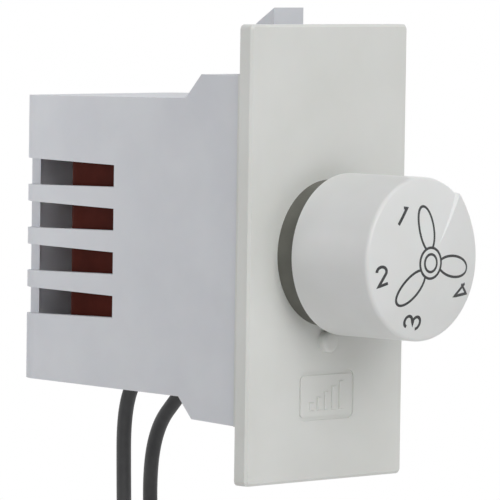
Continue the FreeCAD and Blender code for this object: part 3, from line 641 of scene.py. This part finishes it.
def fanPrint():
    verts, faces = [], []
    shift = knobInk["shift"]
    for radius in fanSymbol["ringRadii"]:
        ring = arc(shift, (radius, radius), 0, 360, fanSymbol["ringSteps"])[:-1]
        strokeMesh(ring, fanSymbol["ringLine"], True, verts, faces)
    root = fanSymbol["ringRadii"][0]
    along, across = fanSymbol["rootPull"]
    for angle, reach in fanSymbol["blades"]:
        rootHandle = (root + along * (reach - root), across)
        side = bezier((root, fanSymbol["bladeRoot"]), rootHandle, (reach, fanSymbol["tipPull"]), (reach, 0))
        other = [(x, -z) for x, z in reversed(side[:-1])]
        blade = turnedTo(side + other, angle, shift)
        strokeMesh(blade, fanSymbol["bladeLine"], False, verts, faces)
    piece = newMesh("fan_symbol_print", verts, faces, printInk)
    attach(piece, "rotor")


stepNumbers = {
    "line": 0.29,
    "places": {     # direction from the knob's centre, distance, the digit's turn from upright, its height
        "1": (129.8, 5.58, -38, 2.0),
        "2": (192.6, 6.4, 17.4, 1.77),
        "3": (253.1, 6.26, 76, 2.1),
        "4": (326.2, 6.19, 130, 2.06),
    },
}


def digitStrokes(digit):
    # each stroke on a body one unit high, centred on its own middle
    if digit == "1":
        return [[(-0.16, 0.4), (0, 0.5), (0, -0.5)]]
    if digit == "2":
        bowl = arc((0.045, 0.226), (0.31, 0.275), 168, -35)
        return [bowl + [(-0.33, -0.5), (0.28, -0.5)]]
    if digit == "3":
        upper = arc((-0.03, 0.27), (0.25, 0.225), 178, -58)
        lower = arc((0.01, -0.25), (0.285, 0.25), 72, -163)
        return [upper + [(-0.09, -0.06)] + lower]
    return [[(0.17, -0.5), (0.26, 0.5), (-0.34, -0.35), (0.34, -0.27)]]


def numberPrint():
    verts, faces = [], []
    for digit, (angle, distance, turn, height) in stepNumbers["places"].items():
        place = (distance * math.cos(math.radians(angle)), distance * math.sin(math.radians(angle)))
        for stroke in digitStrokes(digit):
            sized = [(x * height, z * height) for x, z in stroke]
            strokeMesh(divided(turnedTo(sized, turn, place)), stepNumbers["line"], False, verts, faces)
    piece = newMesh("step_number_print", verts, faces, printInk)
    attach(piece, "rotor")


fanPrint()
numberPrint()
print("knob print made")


# index stud, and where the plate's face lies

indexStud = {
    "centre": (-0.15, -8.75),   # across and up, over the plate's own dot
    "radius": 1.1,
    "height": 0.9,
    "edge": 0.42,               # radius of its rounded edge
    "crown": 0.05,              # how much higher its middle is than its edge
    "root": 0.05,               # how far it reaches into the plate
    "segments": 64,
    "edgeRings": 10,
    "sharpAngle": 40,
    "clear": 5,                 # further across than this, nothing stands proud of the plate
}
plateVerts = nodes["front_plate"].data.vertices
plateFace = min(v.co.y for v in plateVerts if abs(v.co.x) > indexStud["clear"] * mm) / mm


def studMesh():
    x, z = indexStud["centre"]
    radius, edge, rings = indexStud["radius"], indexStud["edge"], indexStud["edgeRings"]
    shoulder = plateFace - indexStud["height"] + indexStud["crown"] + edge
    profile = [(radius, plateFace + indexStud["root"])]
    for step in range(rings + 1):
        turn = math.pi / 2 * step / rings
        profile.append((radius - edge * (1 - math.cos(turn)), shoulder - edge * math.sin(turn)))
    top = plateFace - indexStud["height"]
    # half way out, the crown has dropped by a quarter
    profile.append(((radius - edge) / 2, top + indexStud["crown"] / 4))
    count = indexStud["segments"]
    verts = []
    for reach, y in profile:
        for step in range(count):
            angle = math.tau * step / count
            verts.append(((x + reach * math.cos(angle)) * mm, y * mm, (z + reach * math.sin(angle)) * mm))
    faces = [tuple(range(count))]
    for ring in range(len(profile) - 1):
        for step in range(count):
            after = (step + 1) % count
            a, b = ring * count, (ring + 1) * count
            faces.append((a + after, a + step, b + step, b + after))
    last = (len(profile) - 1) * count
    middle = len(verts)
    verts.append((x * mm, top * mm, z * mm))
    faces += [(last + (step + 1) % count, last + step, middle) for step in range(count)]
    piece = newMesh("index_stud", verts, faces, platePlastic)
    piece.data.shade_smooth()
    piece.data.set_sharp_from_angle(angle=math.radians(indexStud["sharpAngle"]))
    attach(piece, "fixed")


studMesh()
print("index stud made")


# plain sign in the plate's outlined field

speedSign = {
    "centre": (0.0, -14.1),     # of the outlined field, across and up
    "bars": 5,
    "pitch": 1.05,
    "barWidth": 0.55,
    "lowest": 0.8,
    "highest": 2.8,
    "height": 0.2,              # above the plate
    "chamfer": 0.08,
    "root": 0.05,               # how far the bars reach into the plate
}


def speedBars():
    # rising bars, moulded proud of the plate like the index dot
    verts, faces = [], []
    span = speedSign["pitch"] * (speedSign["bars"] - 1)
    base = speedSign["centre"][1] - speedSign["highest"] / 2
    for bar in range(speedSign["bars"]):
        x = speedSign["centre"][0] - span / 2 + bar * speedSign["pitch"]
        climb = speedSign["highest"] - speedSign["lowest"]
        rise = speedSign["lowest"] + climb * bar / (speedSign["bars"] - 1)
        half = speedSign["barWidth"] / 2
        first = len(verts)
        rings = ((0, -speedSign["root"]), (0, speedSign["height"] - speedSign["chamfer"]),
                 (speedSign["chamfer"], speedSign["height"]))
        for inset, lift in rings:
            for dx, dz in ((-1, 0), (1, 0), (1, 1), (-1, 1)):
                z = base + (rise - inset if dz else inset)
                verts.append(((x + dx * (half - inset)) * mm, (plateFace - lift) * mm, z * mm))
        for ring in range(len(rings) - 1):
            for side in range(4):
                a, b = first + 4 * ring + side, first + 4 * ring + (side + 1) % 4
                faces.append((a, b, b + 4, a + 4))
        faces.append((first + 3, first + 2, first + 1, first))
        faces.append((first + 8, first + 9, first + 10, first + 11))
    piece = newMesh("speed_bars", verts, faces, platePlastic)
    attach(piece, "fixed")


speedBars()
print("sign made")


# floor, backdrop and light

studio = {
    "floorDrop": 6 * mm,        # below the lowest lead tip
    "floorRadius": 0.6,
    "floorRings": 3,
    "floorSegments": 96,
    "floorTones": ((236, 236, 235), (240, 240, 239)),
    "floorGrain": {"scale": 60, "detail": 4},
    "floorRoughness": 0.9,
    "floorLift": 0.32,          # light that the lens and mirrors see on top of the lit floor
    "worldLevel": 0.2,          # the white room's own light on the object
}


def seenDirectly(tree):
    # 1 for rays of the camera, of a mirror or through glass
    path = addNode(tree, "ShaderNodeLightPath")
    first = addNode(tree, "ShaderNodeMath", operation="MAXIMUM")
    second = addNode(tree, "ShaderNodeMath", operation="MAXIMUM")
    tree.links.new(path.outputs["Is Camera Ray"], first.inputs[0])
    tree.links.new(path.outputs["Is Glossy Ray"], first.inputs[1])
    tree.links.new(first.outputs["Value"], second.inputs[0])
    tree.links.new(path.outputs["Is Transmission Ray"], second.inputs[1])
    return second.outputs["Value"]


def studioFloor():
    level = cadBox[0][2] - studio["floorDrop"]
    rings, segments = studio["floorRings"], studio["floorSegments"]
    verts = [(0, 0, level)]
    for ring in range(1, rings + 1):
        for step in range(segments):
            angle = math.tau * step / segments
            reach = studio["floorRadius"] * ring / rings
            verts.append((reach * math.cos(angle), reach * math.sin(angle), level))
    faces = [(0, 1 + step, 1 + (step + 1) % segments) for step in range(segments)]
    for ring in range(rings - 1):
        inner = 1 + ring * segments
        for step in range(segments):
            after = (step + 1) % segments
            faces.append((inner + step, inner + segments + step, inner + segments + after, inner + after))
    material, tree, shader = newMaterial("pale_floor", Roughness=studio["floorRoughness"])
    tones = [sRgb(*tone) for tone in studio["floorTones"]]
    twoTone(tree, shader, stretchedNoise(tree, **studio["floorGrain"]), *tones)
    seen = seenDirectly(tree)
    glow = addNode(tree, "ShaderNodeEmission", {"Color": (1, 1, 1, 1), "Strength": studio["floorLift"]})
    both = addNode(tree, "ShaderNodeAddShader")
    choose = addNode(tree, "ShaderNodeMixShader")
    output = tree.nodes["Material Output"]
    tree.links.new(shader.outputs["BSDF"], both.inputs[0])
    tree.links.new(glow.outputs["Emission"], both.inputs[1])
    tree.links.new(seen, choose.inputs["Fac"])
    tree.links.new(shader.outputs["BSDF"], choose.inputs[1])
    tree.links.new(both.outputs["Shader"], choose.inputs[2])
    tree.links.new(choose.outputs["Shader"], output.inputs["Surface"])
    floor = newMesh("floor", verts, faces, material)


def studioWorld():
    world = bpy.data.worlds.new("white_studio")
    bpy.context.scene.world = world
    world.use_nodes = True
    tree = world.node_tree
    soft = tree.nodes["Background"]
    soft.inputs["Color"].default_value = (1, 1, 1, 1)
    soft.inputs["Strength"].default_value = studio["worldLevel"]
    white = addNode(tree, "ShaderNodeBackground", {"Color": (1, 1, 1, 1), "Strength": 1.0})
    choose = addNode(tree, "ShaderNodeMixShader")
    tree.links.new(seenDirectly(tree), choose.inputs["Fac"])
    tree.links.new(soft.outputs["Background"], choose.inputs[1])
    tree.links.new(white.outputs["Background"], choose.inputs[2])
    tree.links.new(choose.outputs["Shader"], tree.nodes["World Output"].inputs["Surface"])


# from: the direction it shines from; distance and size in metres; power in watts
lamps = {
    "key": {"from": (-0.28, -0.80, 0.42), "distance": 0.9, "size": 0.5, "power": 2.85},
    "overhead": {"from": (-0.05, -0.30, 0.95), "distance": 0.9, "size": 0.8, "power": 2.8},
    "rear_left": {"from": (-0.60, 0.80, 0.20), "distance": 0.085, "size": 0.05, "power": 0.0112},
    "left": {"from": (-0.80, -0.60, 0.10), "distance": 0.9, "size": 0.25, "power": 0.36},
    "fill": {"from": (0.75, -0.45, 0.35), "distance": 1.1, "size": 0.7, "power": 0.3},
    "right": {"from": (0.90, 0.35, 0.25), "distance": 1.0, "size": 0.6, "power": 0.8},
    "rear": {"from": (0.1, 0.85, 0.5), "distance": 1.1, "size": 0.7, "power": 0.9},
}


def softLamp(name):
    settings = lamps[name]
    light = bpy.data.lights.new(name + "_lamp", "AREA")
    light.shape = "SQUARE"
    light.size = settings["size"]
    light.energy = settings["power"]
    lamp = bpy.data.objects.new(name + "_lamp", light)
    bpy.context.scene.collection.objects.link(lamp)
    direction = Vector(settings["from"]).normalized()
    lamp.location = direction * settings["distance"]
    lamp.visible_camera = False
    lamp.rotation_mode = "QUATERNION"
    lamp.rotation_quaternion = (-direction).to_track_quat("-Z", "Y")


studioFloor()
studioWorld()
for lampName in lamps:
    softLamp(lampName)
print("studio lit")


# camera at the photograph's angle

lens = {
    "place": (-0.38720, -0.36188, 0.03104),     # metres
    "target": (-0.01113, -0.0016, 0.00064),
    "roll": 0.83,               # degrees
    "focal": 386.9,             # mm
    "sensor": 36,               # mm
    "near": 0.01,               # metres
    "far": 20,
}


def photoCamera():
    data = bpy.data.cameras.new("photo_camera")
    data.sensor_width = lens["sensor"]
    data.lens = lens["focal"]
    data.clip_start = lens["near"]
    data.clip_end = lens["far"]
    camera = bpy.data.objects.new("photo_camera", data)
    bpy.context.scene.collection.objects.link(camera)
    aim = Vector(lens["target"]) - Vector(lens["place"])
    camera.location = lens["place"]
    camera.rotation_mode = "QUATERNION"
    roll = Quaternion((0, 0, 1), math.radians(lens["roll"]))
    camera.rotation_quaternion = aim.to_track_quat("-Z", "Y") @ roll
    bpy.context.scene.camera = camera


photoCamera()
bpy.context.scene.view_settings.view_transform = "Standard"
print("camera placed")
